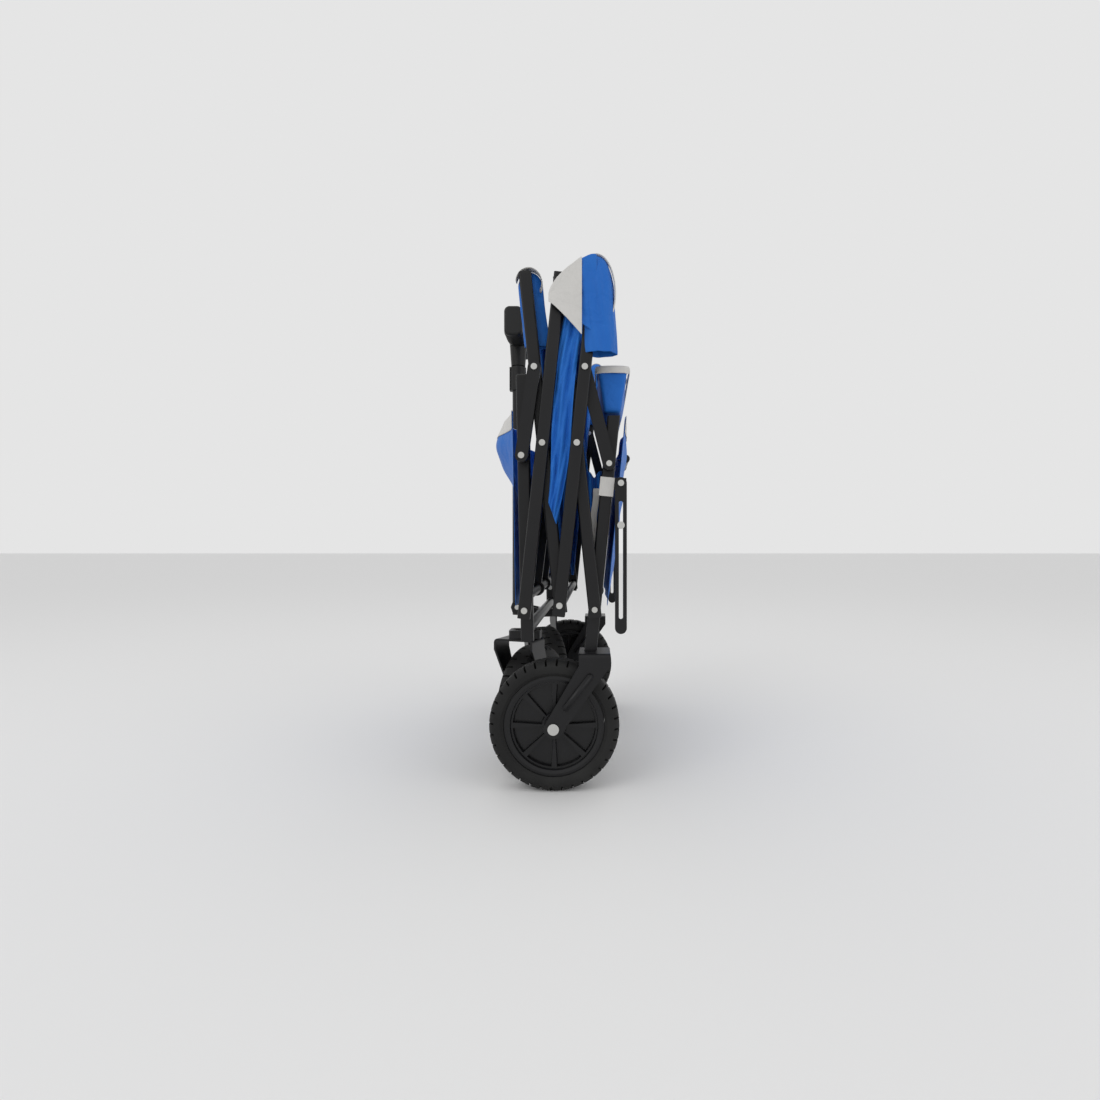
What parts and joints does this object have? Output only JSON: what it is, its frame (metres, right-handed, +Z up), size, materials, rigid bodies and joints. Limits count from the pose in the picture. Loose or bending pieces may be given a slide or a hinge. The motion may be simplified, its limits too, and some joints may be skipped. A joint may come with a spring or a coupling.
{
  "type": "folding beach cart",
  "caption": "Folding beach cart stood up folded: scissor frame in black steel, blue cloth body, four wheels and a telescoping pull handle",
  "frame": {"origin": "centre of the overall box at floor level, where the wheels touch the ground", "axes": "+Z up, -X the front end with the pull handle, +X the rear end, Y across the cart; the cart is folded at rest"},
  "size_m": [0.204, 0.5284, 0.72],
  "materials": {
    "frame_black": "satin black powder coat",
    "rivet_steel": "bright plated rivet heads and bolts",
    "inner_tube": "dark anodised sliding tube",
    "plug_black": "moulded black plastic",
    "tyre_black": "black tyre",
    "blue_cloth": "royal blue woven nylon with light grey binding",
    "grey_grip": "grey foam grip"
  },
  "bodies": {
    "front_frame": {"front_posts": "frame_black", "front_post_plugs": "plug_black", "front_cross_tubes": "frame_black", "front_post_pins": "rivet_steel", "caster_brackets": "frame_black", "handle_bracket": "frame_black", "handle_pivot_pin": "rivet_steel", "front_panel": "blue_cloth"},
    "front_long": {"front_long_bars": "frame_black", "front_long_bar_pins": "rivet_steel", "front_side_cloth": "blue_cloth"},
    "front_tall": {"front_tall_bars": "frame_black", "front_tall_bar_pins": "rivet_steel", "front_bar_plugs": "plug_black", "centre_cross_tube": "frame_black"},
    "rear_tall": {"rear_tall_bars": "frame_black", "rear_tall_bar_pins": "rivet_steel", "rear_bar_plugs": "plug_black", "bar_foot_plugs": "plug_black", "rear_top_cloth": "blue_cloth"},
    "rear_long": {"rear_long_bars": "frame_black", "rear_long_bar_pins": "rivet_steel", "rear_side_cloth": "blue_cloth"},
    "front_link": {"front_links": "frame_black", "front_link_rivets": "rivet_steel"},
    "rear_link": {"rear_links": "frame_black", "rear_link_rivets": "rivet_steel"},
    "rear_frame": {"rear_posts": "frame_black", "rear_cross_tubes": "frame_black", "rear_post_pins": "rivet_steel", "rear_forks": "frame_black", "rear_axles": "rivet_steel", "rear_panel": "blue_cloth", "rear_pocket": "blue_cloth", "stay_brackets": "frame_black", "stay_pivots": "rivet_steel", "carry_straps": "blue_cloth", "carry_grip": "grey_grip"},
    "front_floor": {"front_floor_frame": "frame_black", "front_floor_board": "blue_cloth"},
    "rear_floor": {"rear_floor_frame": "frame_black", "rear_floor_board": "blue_cloth"},
    "handle": {"handle_outer_tube": "frame_black", "strap_keeper": "plug_black"},
    "handle_rod": {"handle_inner_tube": "inner_tube", "handle_grip": "plug_black"},
    "stays": {"slotted_stays": "frame_black"},
    "stay_stops": {"stay_stop_bolts": "rivet_steel"},
    "caster_left": {"front_left_fork": "frame_black", "front_left_axle": "rivet_steel"},
    "front_wheel_left": {"front_left_tyre": "tyre_black", "front_left_rim": "plug_black"},
    "rear_wheel_left": {"rear_left_tyre": "tyre_black", "rear_left_rim": "plug_black"},
    "caster_right": {"front_right_fork": "frame_black", "front_right_axle": "rivet_steel"},
    "front_wheel_right": {"front_right_tyre": "tyre_black", "front_right_rim": "plug_black"},
    "rear_wheel_right": {"rear_right_tyre": "tyre_black", "rear_right_rim": "plug_black"}
  },
  "joints": [
    {"name": "fold", "type": "hinge", "parent": "front_frame", "child": "front_long", "pos_m": [-0.04754, 0, 0.24435], "axis": [0, 1, 0], "range_deg": [0, 54]},
    {"name": "front_cross", "type": "hinge", "parent": "front_long", "child": "front_tall", "pos_m": [-0.02391, 0, 0.4665], "axis": [0, 1, 0], "range_deg": [-108, 0]},
    {"name": "centre_foot", "type": "hinge", "parent": "front_tall", "child": "rear_tall", "pos_m": [-0.001, 0, 0.25101], "axis": [0, 1, 0], "range_deg": [0, 108]},
    {"name": "rear_cross", "type": "hinge", "parent": "rear_tall", "child": "rear_long", "pos_m": [0.02192, 0, 0.4665], "axis": [0, 1, 0], "range_deg": [-108, 0]},
    {"name": "rear_foot", "type": "hinge", "parent": "rear_long", "child": "rear_frame", "pos_m": [0.04554, 0, 0.24435], "axis": [0, 1, 0], "range_deg": [0, 54]},
    {"name": "front_link_turn", "type": "hinge", "parent": "front_frame", "child": "front_link", "pos_m": [-0.0515, 0, 0.4498], "axis": [0, 1, 0], "range_deg": [0, 104]},
    {"name": "rear_link_turn", "type": "hinge", "parent": "rear_frame", "child": "rear_link", "pos_m": [0.065, 0, 0.4408], "axis": [0, 1, 0], "range_deg": [-92, 0]},
    {"name": "front_floor_turn", "type": "hinge", "parent": "front_frame", "child": "front_floor", "pos_m": [-0.04788, 0, 0.262], "axis": [0, 1, 0], "range_deg": [0, 84]},
    {"name": "rear_floor_turn", "type": "hinge", "parent": "rear_frame", "child": "rear_floor", "pos_m": [0.04729, 0, 0.262], "axis": [0, 1, 0], "range_deg": [-84, 0]},
    {"name": "handle_swing", "type": "hinge", "parent": "front_frame", "child": "handle", "pos_m": [-0.087, 0, 0.226], "axis": [0, 1, 0], "range_deg": [-80, 0]},
    {"name": "handle_slide", "type": "slide", "parent": "handle", "child": "handle_rod", "axis": [0, 0, 1], "range_m": [0, 0.22]},
    {"name": "stay_swing", "type": "hinge", "parent": "rear_frame", "child": "stays", "pos_m": [0.081, 0, 0.415], "axis": [0, 1, 0], "range_deg": [-80, 0]},
    {"name": "stay_stop_slide", "type": "slide", "parent": "stays", "child": "stay_stops", "axis": [0, 0, 1], "range_m": [-0.118, 0.024]},
    {"name": "caster_left_swivel", "type": "hinge", "parent": "front_frame", "child": "caster_left", "pos_m": [-0.066, -0.162, 0.2], "axis": [0, 0, 1], "range_deg": [-55, 110]},
    {"name": "front_wheel_left_spin", "type": "hinge", "parent": "caster_left", "child": "front_wheel_left", "pos_m": [-0.0489, -0.11502, 0.088], "axis": [-0.9397, 0.342, 0], "continuous": true},
    {"name": "rear_wheel_left_spin", "type": "hinge", "parent": "rear_frame", "child": "rear_wheel_left", "pos_m": [-0.009, -0.229, 0.088], "axis": [0, 1, 0], "continuous": true},
    {"name": "caster_right_swivel", "type": "hinge", "parent": "front_frame", "child": "caster_right", "pos_m": [-0.066, 0.162, 0.2], "axis": [0, 0, 1], "range_deg": [-110, 55]},
    {"name": "front_wheel_right_spin", "type": "hinge", "parent": "caster_right", "child": "front_wheel_right", "pos_m": [-0.0489, 0.11502, 0.088], "axis": [0.9397, 0.342, 0], "continuous": true},
    {"name": "rear_wheel_right_spin", "type": "hinge", "parent": "rear_frame", "child": "rear_wheel_right", "pos_m": [-0.009, 0.229, 0.088], "axis": [0, 1, 0], "continuous": true}
  ],
  "couplings": [
    {"joint": "front_cross", "follows": "fold", "ratio": -2},
    {"joint": "centre_foot", "follows": "fold", "ratio": 2},
    {"joint": "rear_cross", "follows": "fold", "ratio": -2},
    {"joint": "rear_foot", "follows": "fold", "ratio": 1},
    {"joint": "front_link_turn", "follows": "fold", "ratio": 1.9147},
    {"joint": "rear_link_turn", "follows": "fold", "ratio": -1.6852},
    {"joint": "front_floor_turn", "follows": "fold", "ratio": 1.5389},
    {"joint": "rear_floor_turn", "follows": "fold", "ratio": -1.5389}
  ]
}
